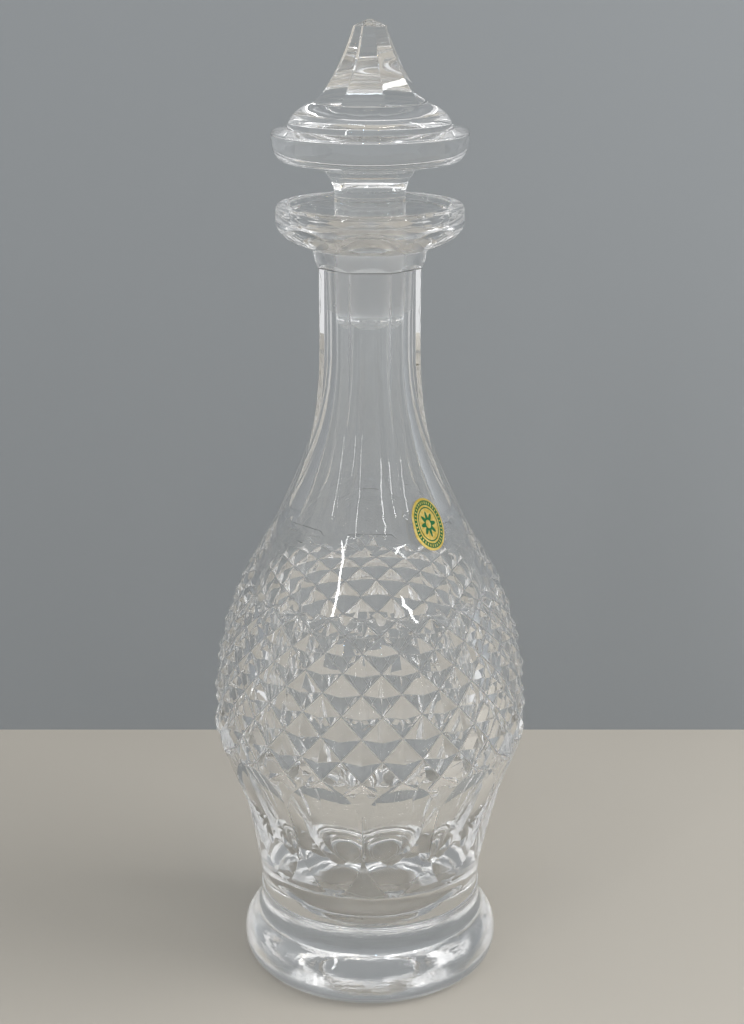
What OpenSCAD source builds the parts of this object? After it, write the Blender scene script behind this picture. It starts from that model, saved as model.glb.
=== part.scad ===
// Cut crystal decanter with a ground glass stopper and a foil seal on its shoulder.
// Millimetres, +Z up, origin at the centre of the face that it stands on.

/* [Foot] */
// Radius of the foot at its widest
foot_r = 45.6; // [43:0.1:50]
// Height of the foot's widest line
foot_z = 7.9; // [6:0.1:10]
// Radius of the edge that meets the table
rest_r = 41.4; // [39:0.1:42.5]
// Radius of the polished hollow under the foot
hollow_r = 36; // [28:0.5:38]
// Depth of the polished hollow
hollow_depth = 2; // [1:0.1:3]
// Radius of the waist above the foot
waist_r = 39; // [37:0.1:42]
// Height of the waist
waist_z = 28; // [25:0.1:31]
// Width of the fine step where the cut body ends on the foot
waist_step = 0.4; // [0.2:0.1:0.8]
// How far the foot's upper edge stands out from the waist
foot_flare = 2.2; // [1.4:0.1:3]
// How far the foot's upper edge lies below the waist
foot_drop = 10; // [8:0.5:12]

/* [Body] */
// Radius of the belly at its widest
belly_r = 55; // [52:0.1:60]
// Height of the belly's widest line above the waist
belly_rise = 67.5; // [62:0.5:74]
// Height of the shoulder, from the belly's widest line up to the neck
shoulder_rise = 130.5; // [122:0.5:140]
// Thickness of the uncut wall at the belly
body_wall = 5.8; // [5:0.1:7.5]
// Thickness of the solid glass under the drink
base_wall = 21; // [19:0.1:24]
// Radius of the flat floor inside
floor_r = 12; // [8:0.5:14]
// Radius inside at the heel, where the floor turns up into the wall
heel_r = 29.5; // [28:0.1:31]
// Height of the heel above the waist
heel_rise = 10; // [8:0.5:12]

/* [Neck] */
// Distance from the axis to each flat of the neck
neck_flat = 16.7; // [15.5:0.1:18.5]
// Number of flats cut round the neck
neck_flats = 8; // [8:1:10]
// Length of the straight neck, from the shoulder up to the ends of the flats
neck_length = 28.4; // [20:0.1:34]
// How far the flats' lower tips reach down the shoulder
flat_drop = 62; // [56:0.5:66]
// Radius of the bore below the ground socket
bore_r = 10.3; // [9:0.1:10.8]

/* [Lip] */
// Radius of the lip's rim
lip_r = 30.9; // [28:0.1:34]
// Height of the lip's rim above the ends of the neck's flats
lip_rise = 17.6; // [16:0.1:20]
// Depth of the dish inside the lip
dish_depth = 8; // [7:0.1:9]
// Width of the lip's rim outside its dish
lip_rim = 4; // [3:0.1:6]
// Number of thumb cuts under the lip
lip_cuts = 8; // [6:1:10]
// Depth of each thumb cut under the lip
lip_cut_depth = 1.5; // [0.8:0.1:1.8]

/* [Diamond band] */
// Number of diamonds round the body
diamonds = 24; // [20:1:28]
// Rows of groove crossings, counted from the lowest one
diamond_rows = 8; // [6:2:10]
// How far the lowest groove crossings lie below the belly's widest line
band_drop = 6.3; // [0:0.1:10]
// Height of the lowest diamonds as a share of their width
diamond_shape = 1.15; // [1:0.01:1.2]
// How much that share falls from one row to the next
diamond_fall = 0.04; // [0.02:0.001:0.045]
// Depth of the grooves at the belly
groove_depth = 2.7; // [1.5:0.1:3.2]
// Turn of the band and the lower thumb cuts about the axis, degrees
band_turn = -3; // [-15:0.5:15]

/* [Lower thumb cuts] */
// Number of tall thumb cuts above the foot
thumb_cuts = 12; // [10:1:14]
// Height of each cut's lower end above the waist
thumb_rise = 13; // [10:0.5:18]
// Gap between each cut's round head and the lowest groove crossings
thumb_gap = 0.2; // [0:0.1:6]
// Depth of each cut at its middle
thumb_depth = 3.4; // [2:0.1:3.6]

/* [Stopper] */
// Radius of the ground plug at the mouth of its socket
plug_r = 11.6; // [11.2:0.1:13]
// Narrowing of the plug's radius over each millimetre of height
plug_taper = 0.045; // [0.03:0.005:0.05]
// Length of the plug below the dish of the lip
plug_length = 32; // [26:0.5:36]
// Clearance between the plug and its socket
plug_gap = 0.08; // [0.05:0.01:0.1]
// Radius of the stopper's disc
disc_r = 32.1; // [28:0.1:34]
// Height of the disc's upper edge above the lip's rim
disc_rise = 23.3; // [20:0.1:27]
// Thickness of the disc at its edge
disc_edge = 9.3; // [8:0.1:10]
// Number of facets round the spire
spire_facets = 8; // [8:1:10]
// Distance from the axis to each facet at the spire's foot
spire_foot = 17.3; // [15:0.1:18.5]
// Distance from the axis to each facet at the spire's top
spire_top = 5.1; // [4:0.1:6.5]
// Height of the dome and spire above the disc's upper edge
spire_rise = 34.7; // [28:0.1:50]
// Turn of the spire's facets about the axis, degrees
spire_turn = -7; // [-22:0.5:22]

/* [Foil seal] */
// Width of the oval foil seal
seal_w = 13; // [9:0.5:15]
// Length of the oval foil seal
seal_l = 18; // [12:0.5:19]
// Thickness of the foil
seal_t = 0.25; // [0.2:0.05:0.5]
// Height of the seal's middle above the flats' lower tips
seal_rise = 5.5; // [3:0.5:12]
// Turn of the seal about the axis from the front, degrees
seal_turn = 40; // [-180:1:180]

/* [Hidden] */
glass = [0.86, 0.92, 0.93, 0.5];
round_n = 96;
over = 2;                             // how far a cutter reaches past what it cuts

// Heights above the table, stacked from the waist up.
foot_top_z = waist_z - foot_drop;
belly_z = waist_z + belly_rise;
neck_z = belly_z + shoulder_rise;
flat_tip_z = neck_z - flat_drop;
flat_top_z = neck_z + neck_length;
lip_z = flat_top_z + lip_rise;
dish_z = lip_z - dish_depth;          // where the dish opens from the socket
disc_z = lip_z + disc_rise;
total_z = disc_z + spire_rise;
band_z = belly_z - band_drop;
thumb_low_z = waist_z + thumb_rise;
thumb_high_z = band_z - thumb_gap;
seal_z = flat_tip_z + seal_rise;

// A cubic curve through [radius, height] points.
function bezier(a, b, c, d, t) =
    pow(1 - t, 3) * a + 3 * t * pow(1 - t, 2) * b + 3 * t * t * (1 - t) * c + pow(t, 3) * d;
function curve(a, b, c, d, n) = [for (i = [0 : n]) bezier(a, b, c, d, i / n)];
function tail(list) = [for (i = [1 : len(list) - 1]) list[i]];
function by_height(list) = [for (p = list) [p[1], p[0]]];
function smooth(t) = let (u = min(1, max(0, t))) u * u * (3 - 2 * u);

// The line that the cutter's floor and the blown shape share, from the waist to the neck. Each
// curve leaves its ends upright, and its pulls are how far it keeps upright there.
waist_pull = 0.3556 * belly_rise;
under_pull = 0.237 * belly_rise;
belly_pull = 0.4943 * shoulder_rise;
neck_pull = 0.5402 * shoulder_rise;
belly_curve = curve([waist_r, waist_z], [waist_r, waist_z + waist_pull],
                    [belly_r, belly_z - under_pull], [belly_r, belly_z], 12);
shoulder_curve = curve([belly_r, belly_z], [belly_r, belly_z + belly_pull],
                       [neck_flat, neck_z - neck_pull], [neck_flat, neck_z], 24);
form_table = by_height(concat(belly_curve, tail(shoulder_curve), [[neck_flat, flat_top_z]]));
function form_r(z) = lookup(z, form_table);
function form_slope(z) = (form_r(z + 0.5) - form_r(z - 0.5));

// The foot's upper edge, and its own side of the fine step at the waist.
foot_top_r = waist_r + foot_flare;
step_r = waist_r + waist_step;

// The glass before its flats are cut stands out to the corners between them.
corner = 1 / cos(180 / neck_flats) + 0.003;
flat_run = 12;                        // height over which a flat reaches its full width
function blank_r(z) = form_r(z) * (1 + (corner - 1) * smooth((z - flat_tip_z) / flat_run));

neck_top_z = flat_top_z + 3.5;        // the uncut ring above the flats
neck_corner = neck_flat * corner;
lip_under = [[neck_corner, flat_top_z - 3], [neck_corner + 0.2, flat_top_z],
             [neck_corner + 1, neck_top_z]];
lip_start = [neck_corner + 1, neck_top_z];
lip_corner_z = lip_z - 6;             // where the lip's side starts to turn in
lip_bowl = curve(lip_start, [lip_r - 7, neck_top_z + 1], [lip_r + 0.4, neck_top_z + 4],
                 [lip_r, lip_corner_z], 10);

// Socket and dish.
dish_r = plug_r + plug_gap;
socket_z = dish_z - plug_length + 2;  // lower end of the ground socket
function plug_at(z) = plug_r - plug_taper * (dish_z - z);
dish = curve([lip_r - lip_rim, lip_z - 0.4], [lip_r - lip_rim - 1.5, lip_z - 5.5],
             [dish_r + 6, dish_z + 0.4], [dish_r + 1, dish_z], 8);

module decanter_blank(grow = 0) {
    rotate_extrude($fn = round_n)
    polygon(concat(
        [[0, 0], [rest_r, 0]],
        curve([rest_r + 0.8, 0.8], [foot_r - 0.2, 2.6], [foot_r, foot_z - 2], [foot_r, foot_z], 5),
        tail(curve([foot_r, foot_z], [foot_r, foot_z + 5], [foot_top_r + 0.55 * (foot_r - foot_top_r),
                   foot_top_z - 3.6], [foot_top_r, foot_top_z], 6)),
        tail(curve([foot_top_r, foot_top_z], [foot_top_r - 0.7 * foot_flare, foot_top_z + 2.4],
                   [step_r, waist_z - 4], [step_r, waist_z], 6)),
        [[waist_r, waist_z + waist_step / 2]],
        [for (p = tail(belly_curve)) [p[0] + grow, p[1]]],
        [for (p = tail(shoulder_curve)) [blank_r(p[1]) + grow, p[1]]],
        lip_under,
        tail(lip_bowl),
        [[lip_r, lip_z - 1.8], [lip_r - 0.3, lip_z - 0.8], [lip_r - 1.1, lip_z]],
        [[0, lip_z]]));
}

module hollow_inside() {
    belly_in = belly_r - body_wall;
    well = [floor_r + 5, base_wall + 4];      // upper edge of the shallow well in the floor
    heel = [heel_r, waist_z + heel_rise];
    rotate_extrude($fn = round_n)
    polygon(concat(
        [[0, base_wall]],
        curve([floor_r, base_wall], [floor_r + 2, base_wall], well - [1, 2], well, 5),
        tail(curve(well, well + [1, 2], well + [6, 0], heel, 8)),
        tail(curve(heel, heel + [4.5, 14], [belly_in, belly_z - 0.35 * belly_rise],
                   [belly_in, belly_z], 12)),
        tail(curve([belly_in, belly_z], [belly_in, belly_z + 0.9 * belly_pull],
                   [bore_r, neck_z - 0.766 * neck_pull], [bore_r, neck_z], 20)),
        [[bore_r, socket_z - 1.5], [plug_at(socket_z) + plug_gap, socket_z], [dish_r, dish_z]],
        [for (i = [len(dish) - 1 : -1 : 0]) dish[i]],
        [[lip_r - lip_rim, lip_z + over], [0, lip_z + over]]));
}

module hollow_under_foot() {
    ball_r = (hollow_r * hollow_r + hollow_depth * hollow_depth) / (2 * hollow_depth);
    translate([0, 0, hollow_depth - ball_r])
    sphere(r = ball_r, $fn = round_n);
}

// One flat of the neck: everything outside its floor, which leaves the glass at both ends.
module neck_flat_cutter(grow = 0) {
    low_z = flat_tip_z - 6;
    reach = belly_r;
    steps = 20;
    leave_z = flat_top_z - 2.5;
    floor_line = [for (i = [0 : steps]) let (z = flat_tip_z + (leave_z - flat_tip_z) * i / steps)
                  [form_r(z) + grow, z]];
    rotate([90, 0, 0])
    linear_extrude(height = 2 * neck_flat + 6, center = true)
    polygon(concat([[form_r(low_z) + grow + 1.5, low_z]], floor_line,
                   [[neck_corner + 1.2, flat_top_z + 1], [reach, flat_top_z + 1], [reach, low_z]]));
}

module neck_flat_cutters(grow = 0) {
    for (i = [0 : neck_flats - 1])
        rotate([0, 0, -90 + i * 360 / neck_flats])
        neck_flat_cutter(grow);
}

// The diamond band: a sleeve whose inner face is the cut surface. Two sets of grooves cross it,
// and row by row the crossings and the points of the diamonds change places.
function row_heights() =
    [for (i = 0, z = band_z; i <= diamond_rows;
          z = z + (diamond_shape - diamond_fall * i) * PI * form_r(z) / diamonds
                  / sqrt(1 + pow(form_slope(z), 2)), i = i + 1) z];

module diamond_cutter() {
    rows = row_heights();
    last = diamond_rows;
    columns = 2 * diamonds;
    outer = belly_r + 8;
    run = 0.45;                       // run-out past the band, as a share of a row
    fade = 0.5;                       // depth left where the grooves' upper ends meet
    low = rows[0] - run * (rows[1] - rows[0]);
    high = rows[last] + run * (rows[last] - rows[last - 1]);
    heights = concat([low], rows, [high]);
    count = len(heights);
    function depth(z) = groove_depth * form_r(z) / belly_r;
    // Height of the cutter's face over the blown surface at row i and column j
    function lift(i, j) =
        i == 0 || i == count - 1 ? ((i + j) % 2 == 0 ? 2 : 0.7)
        : (i + j) % 2 == 1 ? (i == count - 2 ? -fade : -1) * depth(heights[i])
        : i == 1 || i == count - 2 ? 0.75 * depth(heights[i]) : -0.08;
    function at(r, z, j) = let (a = j * 360 / columns) [r * cos(a), r * sin(a), z];
    inner_points = [for (i = [0 : count - 1]) for (j = [0 : columns - 1])
                    at(form_r(heights[i]) + lift(i, j), heights[i], j)];
    outer_points = [for (i = [0, count - 1]) for (j = [0 : columns - 1]) at(outer, heights[i], j)];
    base = len(inner_points);
    function in_id(i, j) = i * columns + j % columns;
    function out_id(i, j) = base + i * columns + j % columns;
    sleeve = [for (i = [0 : count - 2]) for (j = [0 : columns - 1])
        let (a = in_id(i, j), b = in_id(i, j + 1), c = in_id(i + 1, j + 1), d = in_id(i + 1, j))
        each (i + j) % 2 == 1 ? [[a, b, c], [a, c, d]] : [[a, b, d], [b, c, d]]];
    wall = [for (j = [0 : columns - 1])
        let (a = out_id(0, j), b = out_id(0, j + 1), c = out_id(1, j + 1), d = out_id(1, j))
        each [[a, c, b], [a, d, c]]];
    floor_ring = [for (j = [0 : columns - 1])
        let (a = in_id(0, j), b = in_id(0, j + 1), c = out_id(0, j + 1), d = out_id(0, j))
        each [[a, c, b], [a, d, c]]];
    roof_ring = [for (j = [0 : columns - 1])
        let (a = in_id(count - 1, j), b = in_id(count - 1, j + 1), c = out_id(1, j + 1), d = out_id(1, j))
        each [[a, b, c], [a, c, d]]];
    rotate([0, 0, -90 + band_turn])
    polyhedron(points = concat(inner_points, outer_points),
               faces = concat(sleeve, wall, floor_ring, roof_ring), convexity = 6);
}

// A tall thumb cut: the rim of a wide wheel, set so that it leaves the glass at both ends.
module thumb_cutter() {
    low = [form_r(thumb_low_z), thumb_low_z];
    high = [form_r(thumb_high_z), thumb_high_z];
    length = norm(high - low);
    tilt = atan2(high[0] - low[0], high[1] - low[1]);
    wheel_r = length * length / (8 * thumb_depth) + thumb_depth / 2;
    rim_r = 60;
    sweep = 2 * asin(length / 2 / wheel_r) + 3;
    middle = (low + high) / 2;
    rotate([0, 0, -90])
    translate([middle[0], 0, middle[1]])
    rotate([0, tilt, 0])
    translate([wheel_r - thumb_depth, 0, 0])
    rotate([90, 0, 0])
    rotate([0, 0, 180 - sweep / 2])
    rotate_extrude(angle = sweep, $fn = round_n)
    intersection() {
        translate([wheel_r - rim_r, 0]) circle(r = rim_r, $fn = round_n);
        translate([wheel_r - 12, -20]) square([14, 40]);
    }
}

module thumb_cutters() {
    pitch = 360 / thumb_cuts;
    for (i = [0 : thumb_cuts - 1])
        rotate([0, 0, band_turn + pitch * (i + 0.5)])
        thumb_cutter();
}

// The shallow thumb cuts across the lip's lower corner.
module lip_cutters() {
    ball_r = 130;
    lean = 42;
    p = lip_bowl[7];
    away = ball_r - lip_cut_depth;
    for (i = [0 : lip_cuts - 1])
        rotate([0, 0, -90 + i * 360 / lip_cuts])
        translate([p[0] + away * cos(lean), 0, p[1] - away * sin(lean)])
        intersection() {
            sphere(r = ball_r, $fn = round_n);
            rotate([0, -90 + lean, 0])
            translate([0, 0, ball_r - 8]) cylinder(r = 14, h = 9, $fn = round_n);
        }
}

module decanter() {
    color(glass)
    difference() {
        decanter_blank();
        hollow_inside();
        hollow_under_foot();
        neck_flat_cutters();
        diamond_cutter();
        thumb_cutters();
        lip_cutters();
    }
}

module stopper_blank() {
    stem_z = dish_z + 10;
    under_z = disc_z - disc_edge;
    plug_end = dish_z - plug_length;
    end_r = plug_at(plug_end + 4.5);
    rotate_extrude($fn = round_n)
    polygon(concat(
        [[0, plug_end]],
        curve([end_r - 4, plug_end], [end_r - 1.4, plug_end + 0.3], [end_r, plug_end + 2],
              [end_r, plug_end + 4.5], 5),
        [[plug_r, dish_z]],
        curve([plug_r, stem_z], [plug_r, stem_z + 9], [plug_r + 6, under_z - 1.5],
              [disc_r - 3.4, under_z], 8),
        tail(curve([disc_r - 3.4, under_z], [disc_r - 1, under_z + 1], [disc_r, under_z + 4.5],
                   [disc_r, disc_z - 0.7], 6)),
        [[disc_r - 0.4, disc_z], [disc_r - 5.4, disc_z + 1]],
        tail(curve([disc_r - 5.4, disc_z + 1], [disc_r - 5.6, disc_z + 4.8],
                   [spire_foot + 5.2, disc_z + 7.6], [spire_foot + 0.9, disc_z + 9], 6)),
        [[spire_foot + 2, disc_z + 12], [spire_foot + 2, total_z], [0, total_z]]));
}

// One facet of the spire: hollow from the dome up to the shoulder of the little pyramid.
module spire_cutter() {
    foot_z_line = disc_z + 9.1;
    shoulder_z = total_z - 2;
    point_z = total_z + 0.25;
    rise = (point_z - shoulder_z) / spire_top;
    floor_line = curve([spire_foot, foot_z_line], [spire_foot - 5.2, foot_z_line + 5],
                       [spire_top + 2.2, shoulder_z - 8], [spire_top, shoulder_z], 10);
    rotate([90, 0, 0])
    linear_extrude(height = 2 * spire_foot + 12, center = true)
    polygon(concat([[disc_r + over, foot_z_line + 0.2], [spire_foot + 0.2, foot_z_line]], floor_line,
                   [[-1, point_z + rise], [-1, total_z + 6], [disc_r + over, total_z + 6]]));
}

module stopper() {
    color(glass)
    difference() {
        stopper_blank();
        for (i = [0 : spire_facets - 1])
            rotate([0, 0, -90 + spire_turn + i * 360 / spire_facets])
            spire_cutter();
    }
}

// The foil seal: a thin skin of the shoulder's own cut shape inside an upright oval.
module shoulder_skin(grow) {
    difference() {
        decanter_blank(grow);
        rotate([0, 0, -90 + 360 / neck_flats]) neck_flat_cutter(grow);
    }
}

module foil_seal() {
    seat = 0.1;
    tilt = atan(form_slope(seal_z));
    color("goldenrod")
    intersection() {
        difference() {
            shoulder_skin(seat + seal_t);
            shoulder_skin(seat);
        }
        rotate([0, 0, -90 + seal_turn])
        translate([form_r(seal_z), 0, seal_z])
        rotate([0, 90 + tilt, 0])
        translate([0, 0, -8])
        linear_extrude(height = 16)
        polygon([for (a = [0 : 7.5 : 359]) [seal_l / 2 * cos(a), seal_w / 2 * sin(a)]]);
    }
}

decanter();
stopper();
foil_seal();
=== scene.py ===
import math
import bpy
import bmesh
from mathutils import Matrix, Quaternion, Vector


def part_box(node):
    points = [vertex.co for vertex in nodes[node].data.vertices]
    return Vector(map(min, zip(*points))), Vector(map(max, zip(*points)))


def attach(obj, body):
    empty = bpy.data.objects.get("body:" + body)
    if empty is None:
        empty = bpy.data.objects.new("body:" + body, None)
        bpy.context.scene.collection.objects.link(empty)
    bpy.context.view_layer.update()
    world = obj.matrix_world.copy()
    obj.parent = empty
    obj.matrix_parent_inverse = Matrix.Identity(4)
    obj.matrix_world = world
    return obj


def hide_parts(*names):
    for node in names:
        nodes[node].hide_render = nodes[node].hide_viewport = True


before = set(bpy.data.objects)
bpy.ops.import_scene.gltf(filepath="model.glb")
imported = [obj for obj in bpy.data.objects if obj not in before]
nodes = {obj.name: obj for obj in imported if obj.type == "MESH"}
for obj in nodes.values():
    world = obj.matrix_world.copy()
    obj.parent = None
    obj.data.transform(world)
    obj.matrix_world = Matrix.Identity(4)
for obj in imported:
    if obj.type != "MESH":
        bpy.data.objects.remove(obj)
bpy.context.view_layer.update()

scene = bpy.context.scene
scene.view_settings.view_transform = "Standard"
print("frame loaded:", ", ".join(sorted(nodes)))


def srgb(r, g, b):
    # a colour as a paint chart gives it, turned to the linear values that shaders want
    linear = [((c / 255 + 0.055) / 1.055) ** 2.4 if c > 10 else c / 255 / 12.92 for c in (r, g, b)]
    return (*linear, 1)


def linkObject(name, bm):
    mesh = bpy.data.meshes.new(name)
    bm.to_mesh(mesh)
    bm.free()
    obj = bpy.data.objects.new(name, mesh)
    scene.collection.objects.link(obj)
    return obj


def newMaterial(name):
    mat = bpy.data.materials.new(name)
    mat.use_nodes = True
    tree = mat.node_tree
    return mat, tree, tree.nodes["Principled BSDF"]


def addNode(tree, kind, **values):
    node = tree.nodes.new(kind)
    for key, value in values.items():
        setattr(node, key, value)
    return node


def feed(tree, value, socket):
    # another node's output is linked, a plain number or colour is written in
    if isinstance(value, bpy.types.NodeSocket):
        tree.links.new(value, socket)
    else:
        socket.default_value = value


def mathNode(tree, operation, first, second=None, third=None):
    node = addNode(tree, "ShaderNodeMath", operation=operation)
    for value, socket in zip((first, second, third), node.inputs):
        if value is not None:
            feed(tree, value, socket)
    return node.outputs[0]


def vectorNode(tree, operation, first, second):
    node = addNode(tree, "ShaderNodeVectorMath", operation=operation)
    feed(tree, first, node.inputs[0])
    feed(tree, second, node.inputs[1])
    return node.outputs["Value" if operation == "DOT_PRODUCT" else "Vector"]


def splitNode(tree, vector):
    parts = addNode(tree, "ShaderNodeSeparateXYZ")
    tree.links.new(vector, parts.inputs[0])
    return parts.outputs


def lengthNode(tree, first, second):
    return mathNode(tree, "SQRT", mathNode(tree, "ADD", mathNode(tree, "MULTIPLY", first, first),
                                           mathNode(tree, "MULTIPLY", second, second)))


def betweenNode(tree, value, low, high):
    # 1 between the two limits, 0 past them
    return mathNode(tree, "MULTIPLY", mathNode(tree, "GREATER_THAN", value, low),
                    mathNode(tree, "LESS_THAN", value, high))


def rangeNode(tree, value, low, high, toLow=0.0, toHigh=1.0):
    node = addNode(tree, "ShaderNodeMapRange", interpolation_type="SMOOTHSTEP")
    for label, number in (("Value", value), ("From Min", low), ("From Max", high), ("To Min", toLow),
                          ("To Max", toHigh)):
        feed(tree, number, node.inputs[label])
    return node.outputs["Result"]


def noiseNode(tree, vector, scale, detail, roughness=0.5):
    node = addNode(tree, "ShaderNodeTexNoise")
    for label, value in (("Vector", vector), ("Scale", scale), ("Detail", detail), ("Roughness", roughness)):
        feed(tree, value, node.inputs[label])
    return node.outputs["Fac"]


def bumpNode(tree, height, depth, base=None):
    node = addNode(tree, "ShaderNodeBump")
    node.inputs["Distance"].default_value = depth
    tree.links.new(height, node.inputs["Height"])
    if base is not None:
        tree.links.new(base, node.inputs["Normal"])
    return node.outputs[0]


def clearWhere(tree, shader, factor, tint=(1, 1, 1, 1)):
    # light passes straight through, tinted, where the factor is 1
    clear = addNode(tree, "ShaderNodeBsdfTransparent")
    clear.inputs["Color"].default_value = tint
    mix = addNode(tree, "ShaderNodeMixShader")
    for value, socket in zip((factor, shader.outputs[0], clear.outputs[0]), mix.inputs):
        tree.links.new(value, socket)
    tree.links.new(mix.outputs[0], tree.nodes["Material Output"].inputs["Surface"])


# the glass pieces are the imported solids, merged, eased at their cut edges and shaded smooth;
# edges under "shortest" stay sharp, because at the thin ends of the cuts they would fold over
# (angles are in degrees and lengths in metres)
glassPieces = {
    "decanter": {"piece": "crystalDecanter", "body": "root", "easeAngle": 14, "ease": 0.0002,
                 "shortest": 0.0008, "steps": 2, "mergeGap": 1e-6, "flatWithin": 0.05, "flatWeight": 80},
    "stopper": {"piece": "crystalStopper", "body": "stopper", "easeAngle": 14, "ease": 0.0002,
                "shortest": 0.0002, "steps": 2, "mergeGap": 1e-6, "flatWithin": 0.05, "flatWeight": 80},
}
polishedSlot, grooveSlot = 0, 1


def isHollow(face):
    # true at the bottom of a groove, where the faces round it stand in front of it
    middle = face.calc_center_median()
    return sum((other.calc_center_median() - middle).dot(face.normal)
               for edge in face.edges for other in edge.link_faces if other is not face) > 0


def crystalMesh(source, values):
    bm = bmesh.new()
    bm.from_mesh(source)
    bmesh.ops.remove_doubles(bm, verts=bm.verts, dist=values["mergeGap"])
    bmesh.ops.dissolve_limit(bm, angle_limit=math.radians(values["flatWithin"]), verts=bm.verts,
                             edges=bm.edges)
    cutAngle = math.radians(values["easeAngle"])
    cutEdges = [edge for edge in bm.edges
                if edge.calc_face_angle(0) > cutAngle and edge.calc_length() > values["shortest"]]
    eased = bmesh.ops.bevel(bm, geom=cutEdges, offset=values["ease"], offset_type="OFFSET",
                            affect="EDGES", segments=values["steps"], profile=0.5,
                            clamp_overlap=False, material=-1)
    bm.normal_update()
    for face in bm.faces:
        face.smooth = True
    for face in eased["faces"]:
        face.material_index = grooveSlot if isHollow(face) else polishedSlot
    return bm


def crystalPiece(nodeName, values):
    piece = linkObject(values["piece"], crystalMesh(nodes[nodeName].data, values))
    flatter = piece.modifiers.new("flatCuts", "WEIGHTED_NORMAL")  # keeps the cut faces flat
    flatter.weight = values["flatWeight"]
    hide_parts(nodeName)
    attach(piece, values["body"])
    return piece


crystalParts = {name: crystalPiece(name, values) for name, values in glassPieces.items()}
print("glass pieces merged:", len(crystalParts))


def newGroup(name, inputs, outputs):
    # every socket of these groups is a plain number
    group = bpy.data.node_groups.new(name, "ShaderNodeTree")
    for labels, side in ((inputs, "INPUT"), (outputs, "OUTPUT")):
        for label in labels:
            group.interface.new_socket(name=label, in_out=side, socket_type="NodeSocketFloat")
    return group, group.nodes.new("NodeGroupInput").outputs, group.nodes.new("NodeGroupOutput").inputs


def placeGroup(tree, group, **values):
    node = addNode(tree, "ShaderNodeGroup", node_tree=group)
    for label, value in values.items():
        node.inputs[label.replace("_", " ")].default_value = value
    return node.outputs


# hand polish: slow waves left by the felt wheel, faint handling marks in patches
polish = {"waveDetail": 1.5, "markDetail": 4.0, "markRoughness": 0.62, "patches": (0.52, 0.74)}


def makePolishGroup():
    group, given, out = newGroup("handPolish", ("Wave Scale", "Mark Scale", "Marks"), ("Height", "Roughness"))
    coords = addNode(group, "ShaderNodeTexCoord").outputs["Object"]
    waves = noiseNode(group, coords, given["Wave Scale"], polish["waveDetail"])
    marks = noiseNode(group, coords, given["Mark Scale"], polish["markDetail"], polish["markRoughness"])
    patches = rangeNode(group, marks, *polish["patches"])
    group.links.new(waves, out["Height"])
    group.links.new(mathNode(group, "MULTIPLY", patches, given["Marks"]), out["Roughness"])
    return group


# ground glass: level rings and clouds of grey, between two heights and out to a reach from the axis
grinding = {"ringSqueeze": 6.0, "ringScale": 420.0, "cloudScale": 140.0, "detail": 3.0,
            "ringShare": 0.35, "cloudShare": 0.5, "evenShare": 0.55}


def makeGroundGroup():
    group, given, out = newGroup("groundGlass", ("Low", "High", "Reach", "Grind"), ("Roughness",))
    coords = addNode(group, "ShaderNodeTexCoord").outputs["Object"]
    x, y, z = splitNode(group, coords)
    inside = mathNode(group, "LESS_THAN", lengthNode(group, x, y), given["Reach"])
    mask = mathNode(group, "MULTIPLY", betweenNode(group, z, given["Low"], given["High"]), inside)
    level = addNode(group, "ShaderNodeCombineXYZ")
    group.links.new(mathNode(group, "MULTIPLY", z, grinding["ringSqueeze"]), level.inputs["Z"])
    rings = noiseNode(group, level.outputs[0], grinding["ringScale"], grinding["detail"])
    clouds = noiseNode(group, coords, grinding["cloudScale"], grinding["detail"])
    grey = mathNode(group, "MULTIPLY_ADD", clouds, grinding["cloudShare"], grinding["evenShare"])
    grey = mathNode(group, "MULTIPLY_ADD", rings, grinding["ringShare"], grey)
    rough = mathNode(group, "MULTIPLY", mathNode(group, "MULTIPLY", mask, grey), given["Grind"])
    group.links.new(rough, out["Roughness"])
    return group


# turning marks: long faint rings left round a foot while it was spun and shaped
turning = {"flatten": (1.0, 1.0, 9.0), "scale": 110.0, "detail": 3.0, "roughness": 0.6, "fadeOver": 0.004}


def makeTurningGroup():
    group, given, out = newGroup("turningMarks", ("Fade From",), ("Height",))
    coords = addNode(group, "ShaderNodeTexCoord").outputs["Object"]
    marks = noiseNode(group, vectorNode(group, "MULTIPLY", coords, turning["flatten"]), turning["scale"],
                      turning["detail"], turning["roughness"])
    fadeTo = mathNode(group, "ADD", given["Fade From"], turning["fadeOver"])
    low = rangeNode(group, splitNode(group, coords)["Z"], given["Fade From"], fadeTo, 1.0, 0.0)
    group.links.new(mathNode(group, "MULTIPLY", marks, low), out["Height"])
    return group


polishGroup = makePolishGroup()
groundGroup = makeGroundGroup()
turningGroup = makeTurningGroup()

crystal = {
    "ior": 1.545, "tint": (0.992, 0.993, 0.99, 1), "shadowTint": (0.6, 0.61, 0.62, 1),
    "waveScale": 95.0, "waveDepth": 0.00006, "markScale": 34.0, "marks": 0.03,
    "turnedBelow": 0.03, "ringDepth": 0.00006,
    # low and high end of the ground taper on each piece, how rough it is, and its reach from the axis
    "ground": {"decanter": (0.2375, 0.2645, 0.3), "stopper": (0.2365, 0.264, 0.5)}, "groundReach": 0.0125,
    # the ring that the decanter stands on is dulled by years of being set down
    "worn": {"Low": -1.0, "High": 0.0012, "Reach": 1.0, "Grind": 0.05},
    # the wheel leaves a fine grey line along the bottom of each groove
    "wheelGrey": 0.5,
}


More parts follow.
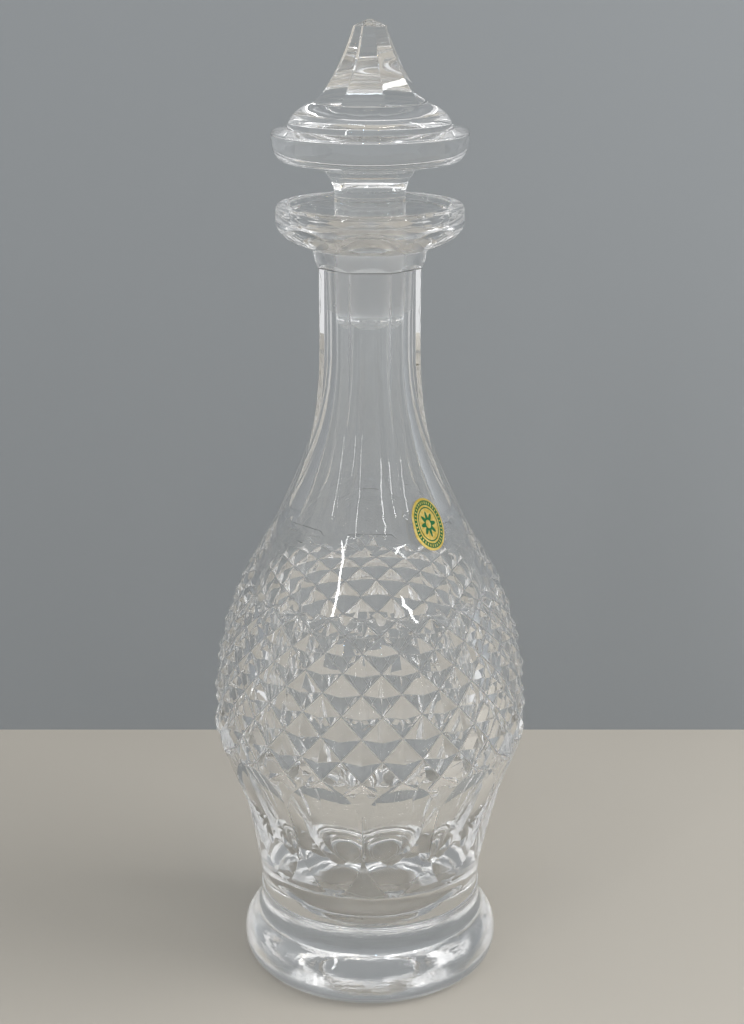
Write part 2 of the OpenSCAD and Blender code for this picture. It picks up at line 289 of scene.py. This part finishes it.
def crystalMaterial(name, nodeName, wheelGrey=0.0):
    mat, tree, shader = newMaterial(name)
    shader.inputs["Base Color"].default_value = crystal["tint"]
    shader.inputs["IOR"].default_value = crystal["ior"]
    shader.inputs["Transmission Weight"].default_value = 1.0
    polished = placeGroup(tree, polishGroup, Wave_Scale=crystal["waveScale"],
                          Mark_Scale=crystal["markScale"], Marks=crystal["marks"])
    low, high, grind = crystal["ground"][nodeName]
    taper = placeGroup(tree, groundGroup, Low=low, High=high, Reach=crystal["groundReach"], Grind=grind)
    rough = mathNode(tree, "ADD", polished["Roughness"], taper["Roughness"])
    rough = mathNode(tree, "ADD", rough, wheelGrey)
    if nodeName == "decanter":
        worn = placeGroup(tree, groundGroup, **crystal["worn"])
        rough = mathNode(tree, "ADD", rough, worn["Roughness"])
    tree.links.new(rough, shader.inputs["Roughness"])
    waves = bumpNode(tree, polished["Height"], crystal["waveDepth"])
    rings = placeGroup(tree, turningGroup, Fade_From=crystal["turnedBelow"])
    tree.links.new(bumpNode(tree, rings["Height"], crystal["ringDepth"], waves), shader.inputs["Normal"])
    # a lamp's light goes straight through, dimmed at each surface, so the glass throws a soft grey shadow
    clearWhere(tree, shader, addNode(tree, "ShaderNodeLightPath").outputs["Is Shadow Ray"],
               crystal["shadowTint"])
    return mat


for nodeName, piece in crystalParts.items():
    piece.data.materials.append(crystalMaterial("crystalOf_" + nodeName, nodeName))
    piece.data.materials.append(crystalMaterial("grooveOf_" + nodeName, nodeName, crystal["wheelGrey"]))

# foil seal: gold foil, a green band with gold ticks, a rosette, all lightly embossed
foil = {
    "gold": srgb(222, 190, 92), "paleGold": srgb(236, 214, 140), "green": srgb(18, 92, 48),
    "turn": 40, "halfWide": 0.0065,  # degrees round from the front, and metres
    # rings, as shares of the seal's half size: green band, gold ticks in it, thin ring, rosette's eye
    "band": (0.72, 0.9), "tickBand": (0.76, 0.86), "thinRing": (0.6, 0.645), "eye": 0.16,
    "ticks": 36, "tickWidth": 0.35, "petals": 8, "petalDepth": 0.12, "petalReach": 0.36,
    "rubScale": 900.0, "rubDetail": 3.0, "rubbed": (0.35, 0.7), "rubRoughness": 0.18, "rubHeight": 0.15,
    "roughness": 0.3, "metal": 0.95, "inkOverMetal": 0.7, "emboss": 0.00018,
}


def sealCoords(tree, coords):
    # across and up the seal, each from -1 to 1
    low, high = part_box("foil_seal")
    middle = [(a + b) / 2 for a, b in zip(low, high)]
    halfTall = (high[2] - low[2]) / 2
    around = math.radians(foil["turn"] - 90)
    place = vectorNode(tree, "SUBTRACT", coords, middle)
    across = vectorNode(tree, "DOT_PRODUCT", place, (-math.sin(around), math.cos(around), 0))
    up = splitNode(tree, place)["Z"]
    return (mathNode(tree, "DIVIDE", across, foil["halfWide"]), mathNode(tree, "DIVIDE", up, halfTall))


def waveRound(tree, angle, count):
    return mathNode(tree, "COSINE", mathNode(tree, "MULTIPLY", angle, count))


def greenParts(tree, ring, angle):
    # 1 where the foil is printed green, 0 where it is bare gold
    ticks = mathNode(tree, "GREATER_THAN", waveRound(tree, angle, foil["ticks"]), foil["tickWidth"])
    ticks = mathNode(tree, "MULTIPLY", ticks, betweenNode(tree, ring, *foil["tickBand"]))
    band = mathNode(tree, "MULTIPLY", betweenNode(tree, ring, *foil["band"]),
                    mathNode(tree, "SUBTRACT", 1.0, ticks))
    petals = mathNode(tree, "MULTIPLY_ADD", waveRound(tree, angle, foil["petals"]), foil["petalDepth"],
                      foil["petalReach"])
    rosette = betweenNode(tree, ring, foil["eye"], petals)
    rings = mathNode(tree, "MAXIMUM", band, betweenNode(tree, ring, *foil["thinRing"]))
    return mathNode(tree, "MAXIMUM", rings, rosette)


def mixColours(tree, factor, first, second):
    node = addNode(tree, "ShaderNodeMix", data_type="RGBA")
    tree.links.new(factor, node.inputs[0])
    feed(tree, first, node.inputs[6])  # 6 and 7 are the node's colour sockets
    feed(tree, second, node.inputs[7])
    return node.outputs[2]


def foilMaterial():
    mat, tree, shader = newMaterial("goldFoil")
    coords = addNode(tree, "ShaderNodeTexCoord").outputs["Object"]
    across, up = sealCoords(tree, coords)
    green = greenParts(tree, lengthNode(tree, across, up), mathNode(tree, "ARCTAN2", up, across))
    rub = rangeNode(tree, noiseNode(tree, coords, foil["rubScale"], foil["rubDetail"]), *foil["rubbed"])
    gold = mixColours(tree, rub, foil["gold"], foil["paleGold"])
    tree.links.new(mixColours(tree, green, gold, foil["green"]), shader.inputs["Base Color"])
    metal = mathNode(tree, "SUBTRACT", foil["metal"],
                     mathNode(tree, "MULTIPLY", green, foil["inkOverMetal"]))
    tree.links.new(metal, shader.inputs["Metallic"])
    tree.links.new(mathNode(tree, "MULTIPLY_ADD", rub, foil["rubRoughness"], foil["roughness"]),
                   shader.inputs["Roughness"])
    raised = mathNode(tree, "ADD", mathNode(tree, "SUBTRACT", 1.0, green),
                      mathNode(tree, "MULTIPLY", rub, foil["rubHeight"]))
    tree.links.new(bumpNode(tree, raised, foil["emboss"]), shader.inputs["Normal"])
    return mat


sealMesh = nodes["foil_seal"].data
sealMesh.materials.clear()
sealMesh.materials.append(foilMaterial())
print("materials made")

stage = {
    "tableTop": {"size": (1.1, 0.8), "at": (0, -0.2, -0.0004), "tilt": 0, "colour": srgb(171, 166, 157)},
    "backWall": {"size": (6, 3), "at": (0, 0.189, 1.4), "tilt": 90, "colour": srgb(134, 138, 141)},
}
stageRoughness = 0.7


def stagePlane(name, values):
    bm = bmesh.new()
    bmesh.ops.create_grid(bm, x_segments=1, y_segments=1, size=0.5)
    bmesh.ops.scale(bm, vec=(*values["size"], 1), verts=bm.verts)
    obj = linkObject(name, bm)
    obj.location = values["at"]
    obj.rotation_euler = (math.radians(values["tilt"]), 0, 0)
    mat, tree, shader = newMaterial(name)
    shader.inputs["Base Color"].default_value = values["colour"]
    shader.inputs["Roughness"].default_value = stageRoughness
    if name == "backWall":
        # seen from behind, the wall is clear, so the decanter's back can be looked at
        clearWhere(tree, shader, addNode(tree, "ShaderNodeNewGeometry").outputs["Backfacing"])
    obj.data.materials.append(mat)


for name, values in stage.items():
    stagePlane(name, values)

# pale room: a little darker towards the floor than overhead
room = {"low": srgb(229, 230, 231), "lowAt": 0.25, "high": (1, 1, 1, 1), "highAt": 0.8, "strength": 1.0}


def makeRoom():
    world = bpy.data.worlds.new("paleRoom")
    scene.world = world
    world.use_nodes = True
    tree = world.node_tree
    background = tree.nodes["Background"]
    ramp = addNode(tree, "ShaderNodeValToRGB")
    for stop, end in zip(ramp.color_ramp.elements, ("low", "high")):
        stop.position = room[end + "At"]
        stop.color = room[end]
    direction = addNode(tree, "ShaderNodeTexCoord").outputs["Generated"]
    tree.links.new(splitNode(tree, direction)["Z"], ramp.inputs[0])
    tree.links.new(ramp.outputs[0], background.inputs["Color"])
    background.inputs["Strength"].default_value = room["strength"]


makeRoom()

bellyTop = (0, 0, 0.15)  # what a lamp is aimed at, unless it says otherwise
lamps = [
    # this one casts the shadow on the table, and leaves no window in the glass
    {"name": "sideSoft", "at": (0.85, -0.25, 0.75), "aim": (0.2, -0.1, 0), "size": (0.6, 0.5),
     "watts": 7.5, "unseen": True},
    {"name": "leftStrip", "at": (-0.646, -0.947, 1.02), "size": (0.045, 0.8), "watts": 1.9},
    {"name": "rightTube", "at": (0.72, -0.89, 0.86), "size": (0.34, 0.03), "watts": 0.6, "roll": -35},
    {"name": "highTubeLeft", "at": (-0.35, -0.55, 1.7), "size": (0.5, 0.04), "watts": 1.0,
     "colour": (0.86, 0.93, 1.0)},
    {"name": "highTubeRight", "at": (0.5, -0.7, 1.6), "size": (0.5, 0.03), "watts": 0.8,
     "colour": (1.0, 0.95, 0.86)},
    {"name": "sideTubeRight", "at": (0.9, 0.05, 1.2), "size": (0.05, 0.5), "watts": 1.0},
    {"name": "sideTubeLeft", "at": (-1.0, -0.15, 1.0), "size": (0.03, 0.4), "watts": 0.4},
    {"name": "warmSpot", "at": (0.2, -0.85, 1.15), "aim": (0, 0, 0.25), "size": (0.05, 0.05),
     "watts": 0.35, "colour": (1.0, 0.78, 0.45)},
    {"name": "coolSpot", "at": (-0.15, -0.8, 1.2), "aim": (0, 0, 0.2), "size": (0.05, 0.05),
     "watts": 0.35, "colour": (0.55, 0.75, 1.0)},
]


def hangLamp(lamp):
    light = bpy.data.lights.new(lamp["name"], "AREA")
    light.shape = "RECTANGLE"
    light.size, light.size_y = lamp["size"]
    light.energy = lamp["watts"]
    light.color = lamp.get("colour", (1, 1, 1))
    holder = bpy.data.objects.new(lamp["name"], light)
    holder.location = lamp["at"]
    facing = (Vector(lamp.get("aim", bellyTop)) - Vector(lamp["at"])).to_track_quat("-Z", "Y")
    roll = Quaternion((0, 0, 1), math.radians(lamp.get("roll", 0)))
    holder.rotation_euler = (facing @ roll).to_euler()
    holder.visible_glossy = holder.visible_transmission = not lamp.get("unseen", False)
    scene.collection.objects.link(holder)


for lamp in lamps:
    hangLamp(lamp)
print("stage and lamps set")

view = {"at": (0, -0.6057, 0.3604), "downTilt": 17.77, "lens": 65.32, "sensor": 36,
        "shift": (0.001953125, 0.0009765625), "nearest": 0.01}


def placeCamera():
    cameraData = bpy.data.cameras.new("camera")
    cameraData.sensor_width = view["sensor"]
    cameraData.lens = view["lens"]
    cameraData.shift_x, cameraData.shift_y = view["shift"]
    cameraData.clip_start = view["nearest"]
    camera = bpy.data.objects.new("camera", cameraData)
    camera.location = view["at"]
    camera.rotation_euler = (math.radians(90 - view["downTilt"]), 0, 0)
    scene.collection.objects.link(camera)
    scene.camera = camera


placeCamera()

# light crosses many cut faces before it leaves the glass
scene.cycles.max_bounces = 40
scene.cycles.glossy_bounces = 32
scene.cycles.transmission_bounces = 40
